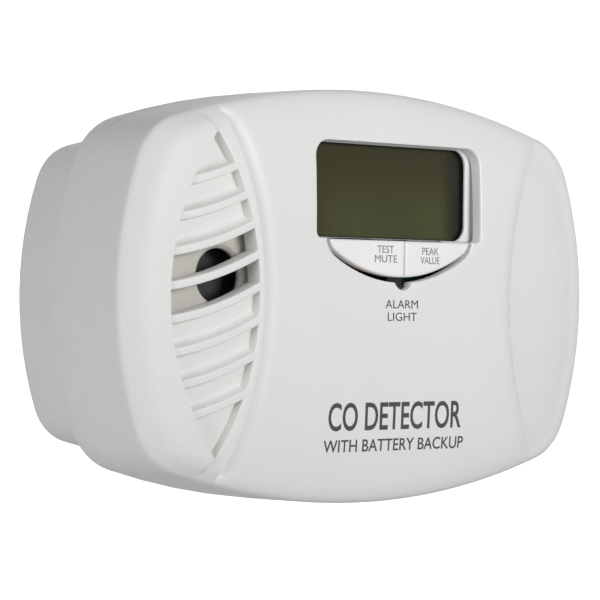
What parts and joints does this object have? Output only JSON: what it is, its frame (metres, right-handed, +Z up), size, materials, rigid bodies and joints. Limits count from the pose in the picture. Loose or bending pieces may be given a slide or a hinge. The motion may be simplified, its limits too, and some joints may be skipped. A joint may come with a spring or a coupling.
{
  "type": "carbon monoxide alarm",
  "caption": "Plug-in carbon monoxide alarm: domed white cover with curved louvre grille, display over two lever buttons, turning wall plug and a backup battery bay.",
  "frame": {"origin": "centre of the flat back face of the rear cover, on the wall plane", "axes": "+X to the right seen from the front, +Y into the wall along the plug's blades, +Z up; the front faces -Y"},
  "size_m": [0.132, 0.065, 0.086],
  "materials": {
    "cover_plastic": "fine spark texture, off-white",
    "rear_plastic": "matte off-white",
    "button_plastic": "satin white",
    "bezel_plastic": "satin light grey",
    "window": "clear sheet",
    "lcd": "dark olive liquid crystal",
    "inner_plastic": "moulded white",
    "black_rubber": "matt black",
    "black_plastic": "moulded black",
    "red_plastic": "red",
    "light_pipe": "frosted clear",
    "board": "green solder mask",
    "screw_steel": "zinc plated",
    "capacitor_yellow": "dipped yellow",
    "capacitor_sleeve": "shrink sleeve",
    "varistor_blue": "dipped blue",
    "fuse_ceramic": "ceramic with metal caps",
    "horn_plastic": "beige grey",
    "brass": "bright",
    "sensor_can": "nickel",
    "copper": "phosphor bronze",
    "wire_black": "insulated wire",
    "wire_red": "insulated wire",
    "cell": "plain cell sleeve",
    "spring_steel": "nickel plated"
  },
  "bodies": {
    "housing": {"front_cover": "cover_plastic", "rear_cover": "rear_plastic", "cover_screws": "screw_steel", "display_bezel": "bezel_plastic", "display_window": "window", "lcd_panel": "lcd", "lcd_holder": "inner_plastic", "lcd_connector": "black_rubber", "switch_bodies": "black_plastic", "alarm_led": "red_plastic", "alarm_light_pipe": "light_pipe", "circuit_board": "board", "board_screws": "screw_steel", "microcontroller": "black_plastic", "film_capacitor": "capacitor_yellow", "electrolytic_capacitors": "capacitor_sleeve", "varistor": "varistor_blue", "fuse": "fuse_ceramic", "horn_coil": "black_plastic", "horn_housing": "horn_plastic", "horn_base": "black_plastic", "piezo_disc": "brass", "co_sensor": "sensor_can", "plug_retainer": "inner_plastic", "retainer_screws": "screw_steel", "wiper_contacts": "copper", "ac_leads": "wire_black", "door_pin": "screw_steel", "battery_cells": "cell", "battery_plates": "spring_steel", "battery_springs": "spring_steel", "battery_leads": "wire_red"},
    "turning_plug": {"plug_disc": "rear_plastic", "plug_blades": "brass", "plug_contacts": "copper"},
    "door": {"battery_door": "rear_plastic"},
    "left_button": {"test_button": "button_plastic"},
    "right_button": {"peak_button": "button_plastic"},
    "left_plunger": {"test_plunger": "red_plastic"},
    "right_plunger": {"peak_plunger": "red_plastic"}
  },
  "joints": [
    {"name": "plug_turn", "type": "hinge", "parent": "housing", "child": "turning_plug", "pos_m": [0, 0, 0.017], "axis": [0, 1, 0], "range_deg": [0, 90]},
    {"name": "door_hinge", "type": "hinge", "parent": "housing", "child": "door", "pos_m": [-0.0315, -0.0018, -0.01695], "axis": [0, 0, 1], "range_deg": [0, 90]},
    {"name": "test_switch", "type": "slide", "parent": "housing", "child": "left_plunger", "axis": [0, 1, 0], "range_m": [0, 0.00028], "stiffness_N_per_m": 1500},
    {"name": "peak_switch", "type": "slide", "parent": "housing", "child": "right_plunger", "axis": [0, 1, 0], "range_m": [0, 0.00028], "stiffness_N_per_m": 1500},
    {"name": "test_press", "type": "hinge", "parent": "housing", "child": "left_button", "pos_m": [0.0061, -0.0437, 0.0105], "axis": [1, 0, 0], "range_deg": [0, 4.5]},
    {"name": "peak_press", "type": "hinge", "parent": "housing", "child": "right_button", "pos_m": [0.0061, -0.0437, 0.0105], "axis": [1, 0, 0], "range_deg": [0, 4.5]}
  ],
  "couplings": [
    {"joint": "test_press", "follows": "test_switch", "rad_per_m": 277.78},
    {"joint": "peak_press", "follows": "peak_switch", "rad_per_m": 277.78}
  ]
}
